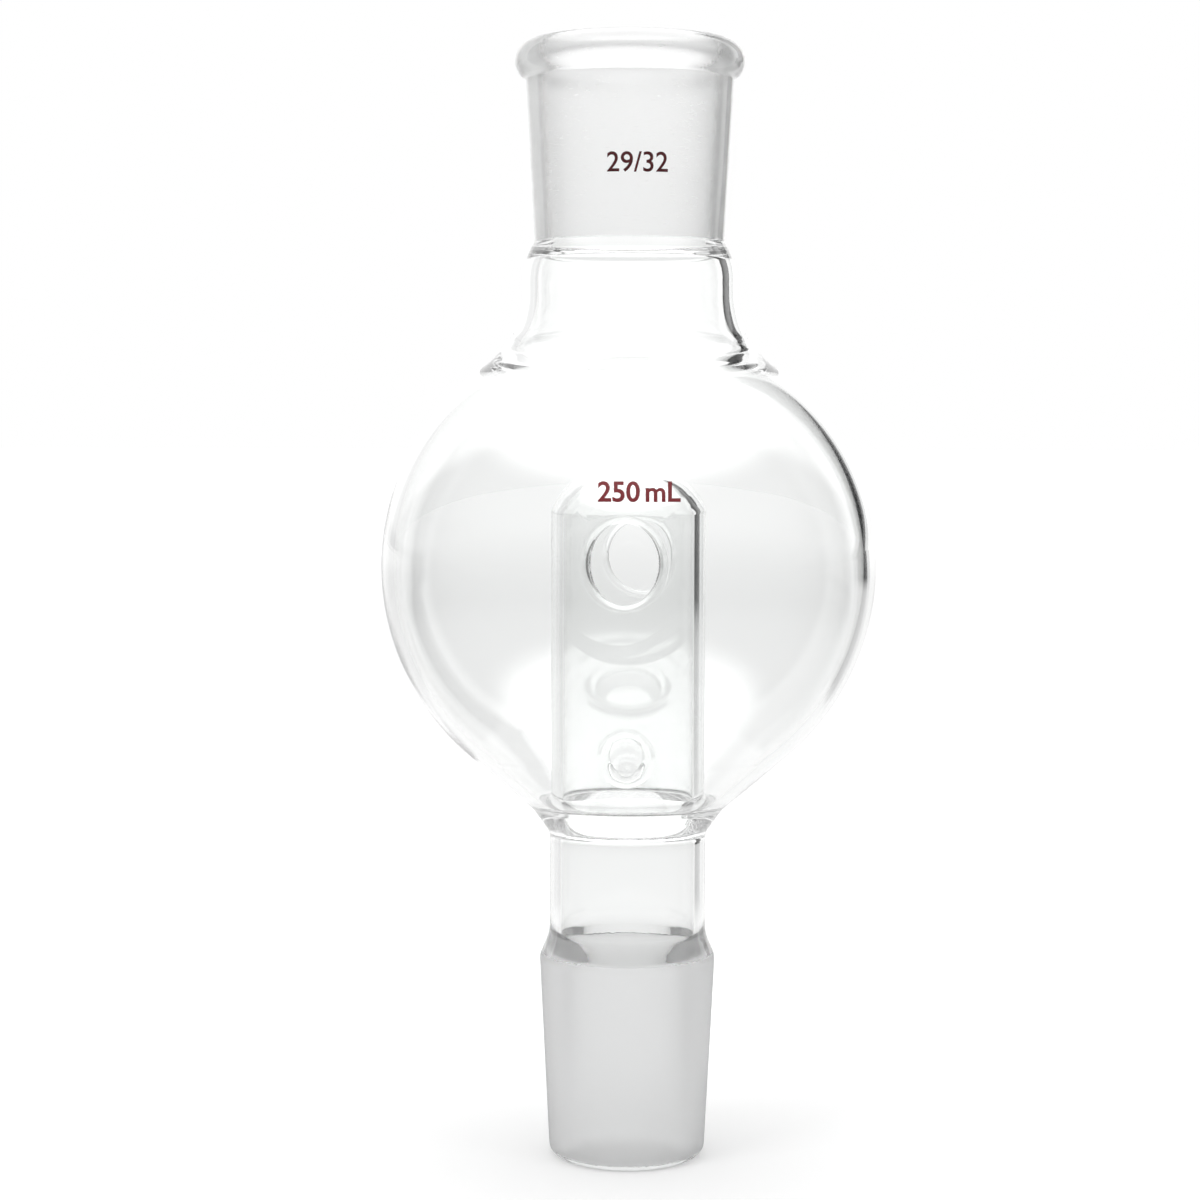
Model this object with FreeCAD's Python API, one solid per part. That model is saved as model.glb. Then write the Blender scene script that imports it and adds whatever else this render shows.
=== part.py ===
"""Rotary evaporator bump trap, blown and fused from clear glass as one piece.

Millimetres, +Z up. The origin is the middle of the lower tip, on which the trap stands.
A ground cone carries a short neck, a round bulb, a wider neck and a ground socket with a rolled rim.
Inside the bulb a domed tube rises from the ring seal, with vapour ports near its top and a drain port
low at the front. Everything but the ports is turned, so one outline of radius and height is spun about Z.
Angles in degrees turn about Z from the front, which is -Y, towards +X.
"""

import FreeCAD, Part
import math
import os

# Ground taper joint of size 29/32, on both ends
JOINT_DIAMETER = 29.2
JOINT_LENGTH = 32.0
JOINT_TAPER = 0.1

# Cone at the bottom
TIP_LAND = 1.1
TIP_ROUNDING = 2.0
TIP_BORE_ROUNDING = 0.9
CONE_BORE_DIAMETER = 19.5
CONE_TOP_REACH = 0.6
CONE_TOP_ROUNDING = 3.0
CONE_SHOULDER_HEIGHT = 4.5
CONE_SHOULDER_RADIUS = 7.0

# Lower neck
LOWER_NECK_DIAMETER = 26.0
LOWER_NECK_WALL = 1.8
LOWER_NECK_LENGTH = 17.0
BORE_BLEND_RADIUS = 2.5

# Ring seal between the lower neck, the bulb and the inner tube
SEAL_DIAMETER = 31.8
SEAL_SLOPE = 36.0
SEAL_CORNER_ROUNDING = 1.5
SEAL_FILLET = 3.0
SEAL_TROUGH_RADIUS = 1.5

# Bulb
BULB_DIAMETER = 81.7
BULB_WALL = 2.0
FUNNEL_SLOPE = 49.4

# Upper neck
UPPER_NECK_DIAMETER = 34.9
UPPER_NECK_WALL = 2.35
UPPER_NECK_STRAIGHT = 1.9
UPPER_NECK_FLARE = 15.0
SHOULDER_RADIUS = 11.0
SHOULDER_FILLET = 0.6

# Socket at the top
SOCKET_WALL = 2.65
SOCKET_FOOT = 0.1
SOCKET_LIP_DEPTH = 2.6
SOCKET_LIP_ROUNDING = 0.5
MOUTH_ROUNDING = 0.5
RIM_PROJECTION = 1.75
RIM_BEAD_RADIUS = 3.4

# Inner tube; its dome is flatter than a half ball, by the offset of the crown's radius over the tube's
TUBE_DIAMETER = 25.6
TUBE_WALL = 1.9
TUBE_RISE = 57.9
DOME_CROWN_OFFSET = 1.3
DOME_KNUCKLE_RADIUS = 3.5

# Ports blown through the inner tube, measured inside their fire-polished lips
PORT_LIP_RADIUS = 1.05
FRONT_PORT_WIDTH = 11.2
FRONT_PORT_HEIGHT = 13.3
FRONT_PORT_DROP = 16.6
FRONT_PORT_TURN = -4.1
BACK_PORT_WIDTH = 11.4
BACK_PORT_HEIGHT = 12.0
BACK_PORT_DROP = 16.5
BACK_PORT_TURN = 167.3
DRAIN_DIAMETER = 5.4
DRAIN_RISE = 10.4
DRAIN_LIP_RADIUS = 1.1
DRAIN_TURN = -2.0
OVAL_POINTS = 24

# Radii and heights that follow from the sizes above
joint_slope = JOINT_TAPER / 2
joint_large_radius = JOINT_DIAMETER / 2
joint_small_radius = joint_large_radius - joint_slope * JOINT_LENGTH
cone_bore_radius = CONE_BORE_DIAMETER / 2
tip_wall = joint_small_radius - cone_bore_radius
tip_rounding = min(TIP_ROUNDING, 0.6 * tip_wall)
tip_bore_rounding = min(TIP_BORE_ROUNDING, 0.3 * tip_wall)
lower_neck_radius = LOWER_NECK_DIAMETER / 2
lower_bore_radius = lower_neck_radius - LOWER_NECK_WALL
bulb_radius = BULB_DIAMETER / 2
bulb_inner_radius = bulb_radius - BULB_WALL
upper_neck_radius = UPPER_NECK_DIAMETER / 2
upper_bore_radius = upper_neck_radius - UPPER_NECK_WALL
tube_radius = TUBE_DIAMETER / 2
tube_bore_radius = tube_radius - TUBE_WALL
dome_crown_radius = tube_radius + DOME_CROWN_OFFSET
seal_radius = SEAL_DIAMETER / 2

cone_top = TIP_LAND + JOINT_LENGTH
lower_neck_foot = cone_top + CONE_SHOULDER_HEIGHT
lower_neck_top = lower_neck_foot + LOWER_NECK_LENGTH
seal_height = lower_neck_top + (seal_radius - lower_neck_radius) / math.tan(math.radians(SEAL_SLOPE))
tube_top = seal_height + TUBE_RISE


def at(radius, height):
    """A point of the outline, which is drawn in the XZ plane."""
    return FreeCAD.Vector(radius, 0, height)


def along(degrees):
    """The direction that leans this far outwards from straight up."""
    return at(math.sin(math.radians(degrees)), math.cos(math.radians(degrees)))


class Outline:
    """A line drawn from point to point out of straight runs and arcs that meet them smoothly."""

    def __init__(self, start):
        self.end = start
        self.edges = []

    def line(self, end):
        """Goes straight to a point."""
        if self.end.distanceToPoint(end) > Part.Precision.confusion():
            self.edges.append(Part.makeLine(self.end, end))
        self.end = end

    def swing(self, centre, end):
        """Goes round a centre to a point, the short way."""
        first = self.end - centre
        last = end - centre
        middle = first + last
        middle.normalize()
        self.edges.append(Part.Arc(self.end, centre + middle * first.Length, end).toShape())
        self.end = end

    def corner(self, point, following, radius):
        """Goes straight towards a corner and rounds it, ready to go on towards the following point."""
        back = self.end - point
        onward = following - point
        half = back.getAngle(onward) / 2
        back.normalize()
        onward.normalize()
        reach = radius / math.tan(half)
        bisector = back + onward
        bisector.normalize()
        self.line(point + back * reach)
        self.swing(point + bisector * (radius / math.sin(half)), point + onward * reach)


def ball_under_neck(neck_reach, ball_radius, flare):
    """Where a concave flare joins an upright wall to the ball under it, measured from the ball's centre:
    the flare's centre, and where it leaves the ball."""
    out = neck_reach + flare
    up = math.sqrt((ball_radius + flare) ** 2 - out**2)
    centre = at(out, up)
    return centre, centre * (ball_radius / (ball_radius + flare))


def ball_over_cone(ball_radius, slope, cone_point):
    """The centre height of a ball that a cone of given slope through a point runs into smoothly,
    and where the two meet."""
    lean = math.radians(slope)
    meeting_radius = ball_radius * math.cos(lean)
    meeting_height = cone_point.z + (meeting_radius - cone_point.x) / math.tan(lean)
    return meeting_height + ball_radius * math.sin(lean), at(meeting_radius, meeting_height)


def socket_bore_radius(height):
    """The socket's tapered bore, measured at a height."""
    return joint_small_radius + joint_slope * (height - socket_ground_foot)


seal_corner = at(seal_radius, seal_height)
bulb_height, funnel_top = ball_over_cone(bulb_radius, FUNNEL_SLOPE, seal_corner)
bulb_centre = at(0, bulb_height)
outer_flare, outer_flare_foot = ball_under_neck(upper_neck_radius, bulb_radius, UPPER_NECK_FLARE)
inner_flare, inner_flare_foot = ball_under_neck(
    upper_bore_radius, bulb_inner_radius, UPPER_NECK_FLARE + UPPER_NECK_WALL
)
upper_neck_top = bulb_height + outer_flare.z + UPPER_NECK_STRAIGHT
shoulder_centre = at(upper_neck_radius - SHOULDER_RADIUS, upper_neck_top)
socket_foot_radius = joint_small_radius + SOCKET_WALL
shoulder_flare, shoulder_flare_foot = ball_under_neck(
    socket_foot_radius - shoulder_centre.x, SHOULDER_RADIUS, SHOULDER_FILLET
)
shoulder_top = upper_neck_top + shoulder_flare.z
socket_ground_foot = shoulder_top + SOCKET_FOOT
socket_ground_top = socket_ground_foot + JOINT_LENGTH
rim_top = socket_ground_top + MOUTH_ROUNDING
rim_wall_radius = socket_bore_radius(rim_top - RIM_BEAD_RADIUS) + SOCKET_WALL
rim_bead = at(rim_wall_radius + RIM_PROJECTION - RIM_BEAD_RADIUS, rim_top - RIM_BEAD_RADIUS)
mouth_rounding = min(MOUTH_ROUNDING, 0.9 * (rim_bead.x - socket_bore_radius(rim_top)))
socket_lip = socket_ground_foot - SOCKET_LIP_DEPTH
shoulder_bore = SHOULDER_RADIUS - UPPER_NECK_WALL
lip_root = at(shoulder_centre.x + math.sqrt(shoulder_bore**2 - (socket_lip - upper_neck_top) ** 2), socket_lip)
lip_rounding = min(SOCKET_LIP_ROUNDING, 0.5 * (lip_root.x - joint_small_radius))


def draw_cone(outline):
    """The ground cone, from the flat tip to the foot of the lower neck."""
    side = at(1, 1 / joint_slope)
    top_corner = at(joint_large_radius, cone_top) + side * (CONE_TOP_REACH / side.z)
    tip_corner = top_corner - side * (top_corner.z / side.z)
    neck_foot = at(lower_neck_radius, lower_neck_foot)
    outline.corner(tip_corner, top_corner, tip_rounding)
    outline.corner(top_corner, neck_foot, CONE_TOP_ROUNDING)
    outline.corner(neck_foot, at(lower_neck_radius, lower_neck_top), CONE_SHOULDER_RADIUS)


def draw_bulb(outline):
    """The outside of the ring seal, the bulb and the flare into the upper neck."""
    outline.corner(at(lower_neck_radius, lower_neck_top), seal_corner, SEAL_FILLET)
    outline.corner(seal_corner, funnel_top, SEAL_CORNER_ROUNDING)
    outline.line(funnel_top)
    outline.swing(bulb_centre, bulb_centre + outer_flare_foot)
    flare = bulb_centre + outer_flare
    outline.swing(flare, flare - at(UPPER_NECK_FLARE, 0))


def draw_socket(outline):
    """The outside of the shoulder and the socket, the rolled rim and the mouth."""
    bead_drop = math.sqrt(RIM_BEAD_RADIUS**2 - (rim_wall_radius - rim_bead.x) ** 2)
    bead_foot = at(rim_wall_radius, rim_bead.z - bead_drop)
    mouth = at(socket_bore_radius(rim_top), rim_top)
    outline.line(at(upper_neck_radius, upper_neck_top))
    outline.swing(shoulder_centre, shoulder_centre + shoulder_flare_foot)
    outline.swing(shoulder_centre + shoulder_flare, at(socket_foot_radius, shoulder_top))
    outline.line(at(socket_foot_radius, socket_ground_foot))
    outline.line(bead_foot)
    outline.swing(rim_bead, rim_bead + at(0, RIM_BEAD_RADIUS))
    outline.corner(mouth, at(joint_small_radius, socket_ground_foot), mouth_rounding)
    outline.line(at(joint_small_radius, socket_ground_foot))


def draw_inside(outline):
    """The socket's bore with its lip, the upper bore and the inside of the bulb, down to the trough."""
    outline.corner(at(joint_small_radius, socket_lip), lip_root, lip_rounding)
    outline.line(lip_root)
    outline.swing(shoulder_centre, at(upper_bore_radius, upper_neck_top))
    outline.line(bulb_centre + inner_flare - at(UPPER_NECK_FLARE + UPPER_NECK_WALL, 0))
    outline.swing(bulb_centre + inner_flare, bulb_centre + inner_flare_foot)
    slope = along(FUNNEL_SLOPE)
    inner_funnel_top = bulb_centre + (funnel_top - bulb_centre) * (bulb_inner_radius / bulb_radius)
    trough = inner_funnel_top - slope * ((inner_funnel_top.x - tube_radius) / slope.x)
    outline.swing(bulb_centre, inner_funnel_top)
    outline.corner(trough, at(tube_radius, tube_top), SEAL_TROUGH_RADIUS)


def draw_dome(outline, inset, rising):
    """The outside of the tube's dome on the way up to the axis, or its inside on the way down."""
    crown = dome_crown_radius - inset
    knuckle = DOME_KNUCKLE_RADIUS - inset
    knuckle_out = tube_radius - DOME_KNUCKLE_RADIUS
    offset = math.sqrt((dome_crown_radius - DOME_KNUCKLE_RADIUS) ** 2 - knuckle_out**2)
    crown_centre = at(0, tube_top - dome_crown_radius)
    knuckle_centre = crown_centre + at(knuckle_out, offset)
    lean = knuckle_centre - crown_centre
    lean.normalize()
    apex = crown_centre + at(0, crown)
    meeting = crown_centre + lean * crown
    side = knuckle_centre + at(knuckle, 0)
    if rising:
        outline.line(side)
        outline.swing(knuckle_centre, meeting)
        outline.swing(crown_centre, apex)
    else:
        outline.line(apex)
        outline.swing(crown_centre, meeting)
        outline.swing(knuckle_centre, side)


def draw_bore(outline):
    """The bore of the inner tube, the lower neck and the cone, down to the tip."""
    seal_foot = at(tube_bore_radius, seal_height)
    neck_bore_top = at(lower_bore_radius, lower_neck_top - LOWER_NECK_WALL)
    neck_bore_foot = at(lower_bore_radius, lower_neck_foot)
    cone_bore_top = at(cone_bore_radius, cone_top)
    outline.corner(seal_foot, neck_bore_top, BORE_BLEND_RADIUS)
    outline.corner(neck_bore_top, neck_bore_foot, BORE_BLEND_RADIUS)
    outline.corner(neck_bore_foot, cone_bore_top, BORE_BLEND_RADIUS)
    outline.corner(cone_bore_top, at(cone_bore_radius, 0), BORE_BLEND_RADIUS)


def make_turned_glass():
    """The trap without its ports, spun from one outline."""
    tip_flat = joint_small_radius - tip_rounding - cone_bore_radius - tip_bore_rounding
    start = at(cone_bore_radius + tip_bore_rounding + tip_flat / 2, 0)
    outline = Outline(start)
    draw_cone(outline)
    draw_bulb(outline)
    draw_socket(outline)
    draw_inside(outline)
    draw_dome(outline, 0, rising=True)
    draw_dome(outline, TUBE_WALL, rising=False)
    draw_bore(outline)
    outline.corner(at(cone_bore_radius, 0), start, tip_bore_rounding)
    outline.line(start)
    section = Part.Face(Part.Wire(outline.edges))
    return section.revolve(FreeCAD.Vector(), FreeCAD.Vector(0, 0, 1), 360)


def closed_curve(points):
    """A smooth closed line through points."""
    curve = Part.BSplineCurve()
    curve.interpolate(Points=points, PeriodicFlag=True)
    return curve


def make_lip(curve, lip_radius):
    """The round bead that the flame leaves along a port's edge, as two halves that meet end to end."""
    middle = (curve.FirstParameter + curve.LastParameter) / 2
    halves = []
    for first, last in ((curve.FirstParameter, middle), (middle, curve.LastParameter)):
        ring = Part.makeCircle(lip_radius, curve.value(first), curve.tangent(first)[0])
        spine = Part.Wire(curve.toShape(first, last))
        halves.append(spine.makePipeShell([Part.Wire(ring)], True, True))
    return halves


def make_port(width, height, lip_radius, rise, turn):
    """A port through the inner tube: what it cuts away, and the two halves of its lip."""
    wall_radius = tube_radius - TUBE_WALL / 2
    across = width / 2 + lip_radius
    up = height / 2 + lip_radius
    steps = [2 * math.pi * step / OVAL_POINTS for step in range(OVAL_POINTS)]
    oval = [(across * math.cos(step), rise + up * math.sin(step)) for step in steps]
    flat = closed_curve([FreeCAD.Vector(x, 0, z) for x, z in oval])
    bent = closed_curve([FreeCAD.Vector(x, -math.sqrt(wall_radius**2 - x**2), z) for x, z in oval])
    cut = Part.Face(Part.Wire(flat.toShape())).extrude(FreeCAD.Vector(0, -2 * tube_radius, 0))
    lip = make_lip(bent, lip_radius)
    for shape in (cut, *lip):
        shape.rotate(FreeCAD.Vector(), FreeCAD.Vector(0, 0, 1), turn)
    return cut, lip


def make_bump_trap():
    """The whole glass piece."""
    front_height = tube_top - FRONT_PORT_DROP
    back_height = tube_top - BACK_PORT_DROP
    drain_height = seal_height + DRAIN_RISE
    ports = [
        make_port(FRONT_PORT_WIDTH, FRONT_PORT_HEIGHT, PORT_LIP_RADIUS, front_height, FRONT_PORT_TURN),
        make_port(BACK_PORT_WIDTH, BACK_PORT_HEIGHT, PORT_LIP_RADIUS, back_height, BACK_PORT_TURN),
        make_port(DRAIN_DIAMETER, DRAIN_DIAMETER, DRAIN_LIP_RADIUS, drain_height, DRAIN_TURN),
    ]
    glass = make_turned_glass().cut([cut for cut, lip in ports])
    return glass.fuse([half for cut, lip in ports for half in lip])


def main():
    os.makedirs("parts", exist_ok=True)
    trap = make_bump_trap()
    print("bump_trap: valid", trap.isValid(), "solids", len(trap.Solids), "volume mm3", round(trap.Volume))
    print("heights: seal", round(seal_height, 2), "bulb", round(bulb_height, 2), "rim", round(rim_top, 2))
    trap.exportStep("parts/bump_trap.step")


main()
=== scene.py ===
"""Dresses the bump trap: its glass with the two ground joints, its size marks, and a plain studio.

Lengths are in metres, +Z up. The outline of the glass is worked out from the sizes below and spun about Z
by a node tree. The ports are then opened in the wall of the inner tube, each with the round lip that a
flame leaves.
"""

import math

import bmesh
import bpy
import numpy as np
from mathutils import Matrix, Vector


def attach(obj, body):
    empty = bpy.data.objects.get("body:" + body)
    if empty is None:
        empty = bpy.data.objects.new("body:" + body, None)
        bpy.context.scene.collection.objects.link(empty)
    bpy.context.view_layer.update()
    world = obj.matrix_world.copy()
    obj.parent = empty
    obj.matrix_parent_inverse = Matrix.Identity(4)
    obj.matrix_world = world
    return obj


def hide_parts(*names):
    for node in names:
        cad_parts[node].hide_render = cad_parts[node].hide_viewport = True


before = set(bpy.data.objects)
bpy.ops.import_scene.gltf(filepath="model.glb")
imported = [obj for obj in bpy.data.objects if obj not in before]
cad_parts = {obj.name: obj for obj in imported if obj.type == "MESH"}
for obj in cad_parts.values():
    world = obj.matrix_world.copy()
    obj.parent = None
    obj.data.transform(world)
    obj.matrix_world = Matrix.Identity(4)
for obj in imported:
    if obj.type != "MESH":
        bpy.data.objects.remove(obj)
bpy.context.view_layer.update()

bl_info = {
    "name": "Bump Trap Glass",
    "version": (1, 0, 0),
    "blender": (4, 5, 0),
    "location": "3D View > Sidebar > Bump Trap",
    "description": "Turns the glass of a rotary evaporator bump trap and lights it on a plain floor",
    "category": "Object",
}

NODE = "bump_trap"
BODY = "root"
MM = 0.001

GLASS_IOR = 1.473
WHITE = (1, 1, 1, 1)
BLACK = (0, 0, 0, 1)
# Facets closer than this are one, on the spun skin and in the flat words
SKIN_WELD = 1e-7
WORD_WELD = 1e-6
# Turns in the walls of the glass after which a path of light is given up
LONGEST_PATH = 96
# Scales of the noise patterns: the wandering edge of the ground zones, their grinding marks and grain, the
# waves of blown glass, the enamel's blotches and pits, and the ragged edge of the white sheet
NOISE = {"edge": 900, "marks": 700, "grain": 5200, "waves": 38, "blotches": 1500, "pits": 9000, "ragged": 24}

# The words of each mark, their width, how far right of the front their middle lies, and how much their
# strokes are thickened
MARKS = {
    "joint_size_mark": {"words": "29/32", "wide": 9.8 * MM, "centre": 1.1 * MM, "weight": 0.008},
    "volume_mark": {"words": "250 mL", "wide": 12.6 * MM, "centre": 1.2 * MM, "weight": 0.022},
}
# Strips that the words are cut into, so that they bend round the glass
MARK_STRIPS = 24
# Place, width in metres and power in watts of each lamp
LAMPS = {
    "key_lamp": {"place": (-0.75, -0.65, 0.75), "size": 0.45, "power": 2},
    "fill_lamp": {"place": (0.8, -0.6, 0.6), "size": 0.3, "power": 0.8},
    "top_lamp": {"place": (0, 0.1, 1.3), "size": 0.8, "power": 3},
}


def length(name, description, millimetres):
    """A length that a user can change, given in millimetres and kept in metres."""
    return bpy.props.FloatProperty(
        name=name, description=description, default=millimetres * MM, unit="LENGTH", precision=5
    )


def angle(name, description, degrees):
    """An angle that a user can change, given in degrees."""
    return bpy.props.FloatProperty(
        name=name, description=description, default=math.radians(degrees), subtype="ANGLE"
    )


def share(name, description, value):
    """A share between nothing and all."""
    return bpy.props.FloatProperty(
        name=name, description=description, default=value, min=0, max=1, subtype="FACTOR"
    )


def colour(name, description, red, green, blue):
    """A colour that a user can change."""
    return bpy.props.FloatVectorProperty(
        name=name, description=description, default=(red, green, blue), size=3, min=0, max=1, subtype="COLOR"
    )


class TrapSizes(bpy.types.PropertyGroup):
    """Sizes of the glass."""

    joint_diameter: length("Joint diameter", "Large end of both ground tapers", 29.2)
    joint_length: length("Joint length", "Length of both ground tapers", 32)
    joint_taper: share("Joint taper", "Change of diameter along a ground taper", 0.1)
    tip_land: length("Tip land", "Clear glass under the ground cone", 1.1)
    tip_rounding: length("Tip rounding", "Outer rounding of the tip", 1.95)
    tip_bore_rounding: length("Tip bore rounding", "Inner rounding of the tip", 0.9)
    cone_bore: length("Cone bore", "Bore through the cone", 19.5)
    cone_reach: length("Cone reach", "How far the cone's wall goes on above the ground zone", 0.6)
    cone_rounding: length("Cone rounding", "Rounding at the top of the cone", 3)
    cone_shoulder: length("Cone shoulder", "Height of the shoulder into the lower neck", 4.5)
    cone_shoulder_radius: length("Shoulder radius", "Rounding of the shoulder's foot", 7)
    lower_neck: length("Lower neck", "Outer diameter of the lower neck", 26)
    lower_neck_wall: length("Lower neck wall", "Wall of the lower neck", 1.8)
    lower_neck_length: length("Lower neck length", "Length of the lower neck", 17)
    bore_blend: length("Bore blend", "Rounding where bores meet", 2.5)
    seal: length("Seal diameter", "Corner between the ring seal and the bulb", 31.8)
    seal_slope: angle("Seal slope", "Slope of the ring seal from upright", 36)
    seal_rounding: length("Seal rounding", "Rounding of the seal's corner", 1.5)
    seal_fillet: length("Seal fillet", "Rounding between the neck and the seal", 3)
    trough: length("Trough radius", "Rounding of the trough round the tube's foot", 1.5)
    bulb: length("Bulb diameter", "Outer diameter of the bulb", 81.7)
    bulb_wall: length("Bulb wall", "Wall of the bulb", 2)
    funnel_slope: angle("Funnel slope", "Slope of the bulb's lower cone from upright", 49.4)
    upper_neck: length("Upper neck", "Outer diameter of the upper neck", 34.9)
    upper_neck_wall: length("Upper neck wall", "Wall of the upper neck", 2.35)
    upper_neck_straight: length("Upper neck straight", "Upright part of the upper neck", 1.9)
    upper_neck_flare: length("Upper neck flare", "Radius of the flare into the bulb", 15)
    shoulder: length("Socket shoulder", "Radius of the shoulder under the socket", 11)
    shoulder_fillet: length("Shoulder fillet", "Rounding between the shoulder and the socket", 0.6)
    socket_wall: length("Socket wall", "Wall of the socket", 2.65)
    seam: length("Seam", "How far the seam swells into the foot of the upper neck", 0.75)
    seam_level: length("Seam level", "Height of the swollen seam", 132.7)
    seam_reach: length("Seam reach", "How far up and down the seam swells", 2)
    socket_foot: length("Socket foot", "Clear glass under the ground socket", 0.1)
    lip_depth: length("Lip depth", "Depth of the socket's inner lip", 2.6)
    lip_rounding: length("Lip rounding", "Rounding of the socket's inner lip", 0.5)
    mouth_rounding: length("Mouth rounding", "Inner rounding of the mouth", 0.5)
    rim_projection: length("Rim projection", "How far the rolled rim stands out", 1.75)
    rim_bead: length("Rim bead", "Radius of the rolled rim", 3.4)
    tube: length("Tube diameter", "Outer diameter of the inner tube", 25.6)
    tube_wall: length("Tube wall", "Wall of the inner tube", 1.9)
    tube_rise: length("Tube rise", "Height of the inner tube above the seal", 57.9)
    crown: length("Crown radius", "Radius of the dome's crown", 14.1)
    knuckle: length("Knuckle radius", "Radius of the dome's shoulder", 3.5)
    steps_round: bpy.props.IntProperty(
        name="Steps round", description="Facets round the axis", default=192, min=16
    )


class PortSizes(bpy.types.PropertyGroup):
    """Sizes of one port through the inner tube."""

    width: length("Width", "Clear width of the port", 11.2)
    height: length("Height", "Clear height of the port", 13.3)
    lip: length("Lip radius", "Radius of the fire-polished lip", 0.97)
    level: length("Level", "Height of the port's middle above the tip", 99.89)
    turn: angle("Turn", "Turn of the port from the front towards the right", -4.1)


class GlassFinish(bpy.types.PropertyGroup):
    """Colours of the glass and its marks."""

    clear: colour("Clear glass", "Tint of the clear glass", 0.98, 0.985, 0.982)
    ground: colour("Ground glass", "Colour of the ground cone", 0.965, 0.968, 0.97)
    ground_over: length("Ground over", "How far the matt zone of the cone reaches onto its shoulder", 1.3)
    # The socket's ground glass is tinted lighter than the cone's: painted light, for the light from above
    # that falls in through its open mouth
    lit_ground_inside: colour("Ground inside", "Colour of the ground socket", 0.99, 0.99, 0.99)
    ground_roughness: share("Ground roughness", "Roughness of the ground cone", 0.42)
    socket_roughness: share("Socket roughness", "Roughness of the ground socket", 0.32)
    ground_cover: share("Ground cover", "How much of the ground cone is white scatter", 0.26)
    ground_inside_cover: share("Inside cover", "How much of the ground socket is white scatter", 0.12)
    enamel: colour("Enamel", "Colour of the size marks", 0.19, 0.006, 0.012)


class MarkSizes(bpy.types.PropertyGroup):
    """Sizes of the enamel marks."""

    thickness: length("Enamel thickness", "Thickness of the fired enamel", 0.05)
    joint_mark_height: length("Joint mark height", "Height of the numbers on the socket", 3.2)
    joint_mark_level: length("Joint mark level", "Height of the middle of the socket's mark", 163.9)
    volume_mark_height: length("Volume mark height", "Height of the numbers on the bulb", 3.15)
    volume_mark_level: length("Volume mark level", "Height of the middle of the bulb's mark", 112.55)


class StudioSettings(bpy.types.PropertyGroup):
    """Camera, lamps and background."""

    lens: bpy.props.FloatProperty(name="Lens", description="Focal length in millimetres", default=80.13)
    camera_side: length("Camera side", "Place of the camera to the right of the axis", -4.7)
    camera_back: length("Camera distance", "Distance of the camera in front of the axis", 442)
    camera_height: length("Camera height", "Height of the camera above the floor", 126.8)
    camera_pitch: angle("Camera pitch", "How far the camera looks down", 4.346)
    camera_roll: angle("Camera roll", "Lean of the picture", 0.14)
    surround: bpy.props.FloatProperty(
        name="Surround light", description="Strength of the light from all round", default=0.75
    )
    glow: share("Glow", "How much brighter the white behind the object is above the horizon", 0.22)
    room: share("Room", "How bright the room in front shows in the gloss of the glass", 0.18)
    room_top: angle("Room top", "How high the dim room reaches, up to the soft box above it", 42)
    soft_box: bpy.props.FloatProperty(
        name="Soft box", description="Brightness of the soft box in the gloss of the glass", default=4
    )
    sheet: length("Sheet", "How far the white sheet reaches in front of the object", 175)
    sheet_shift: length("Sheet shift", "How far the middle of the sheet lies to the left", 5)
    card_start: angle("Card start", "Turn from behind the object to the card on its right", 34)
    card_lean: angle("Card lean", "How much nearer the card's edge is above the horizon", 7)
    card_end: angle("Card end", "Turn from behind the object to the far edge of the cards", 52)
    card_high: angle("Card top", "How high the cards end", 50)
    card_shade: share("Card shade", "Brightness of the dark card", 0.02)
    left_shade: share("Left card shade", "Brightness of the grey card on the left", 0.72)


def at(radius, height):
    """A point of the outline."""
    return Vector((radius, height))


class Outline:
    """Points along a smooth line made of straight runs and arcs."""

    LONGEST_CHORD = 1.3 * MM
    WIDEST_TURN = math.radians(9)
    SUPPORT = 0.25 * MM

    def __init__(self, start):
        self.points = [start]

    def line(self, end):
        """Goes straight to a point. A short step at each end keeps the shading of a long run true."""
        start = self.points[-1]
        run = end - start
        if run.length < self.SUPPORT / 100:
            return
        if run.length > 4 * self.SUPPORT:
            step = run.normalized() * self.SUPPORT
            self.points += [start + step, end - step]
        self.points.append(end)

    def swing(self, centre, end, chord=LONGEST_CHORD):
        """Goes round a centre to a point, the short way."""
        first = self.points[-1] - centre
        last = end - centre
        turn = math.atan2(first.x * last.y - first.y * last.x, first.dot(last))
        steps = math.ceil(max(abs(turn) / self.WIDEST_TURN, abs(turn) * first.length / chord))
        for step in range(1, steps):
            part = turn * step / steps
            cos, sin = math.cos(part), math.sin(part)
            self.points.append(centre + at(first.x * cos - first.y * sin, first.x * sin + first.y * cos))
        self.points.append(end)

    def corner(self, point, following, radius):
        """Goes straight towards a corner and rounds it, ready to go on towards the following point."""
        back = (self.points[-1] - point).normalized()
        onward = (following - point).normalized()
        half = math.acos(back.dot(onward)) / 2
        reach = radius / math.tan(half)
        bisector = (back + onward).normalized()
        self.line(point + back * reach)
        self.swing(point + bisector * (radius / math.sin(half)), point + onward * reach)


def ball_under_neck(neck_reach, ball_radius, flare):
    """Where a concave flare joins an upright wall to the ball under it, from the ball's centre: the flare's
    centre, and where it leaves the ball."""
    out = neck_reach + flare
    centre = at(out, math.sqrt((ball_radius + flare) ** 2 - out**2))
    return centre, centre * (ball_radius / (ball_radius + flare))


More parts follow.
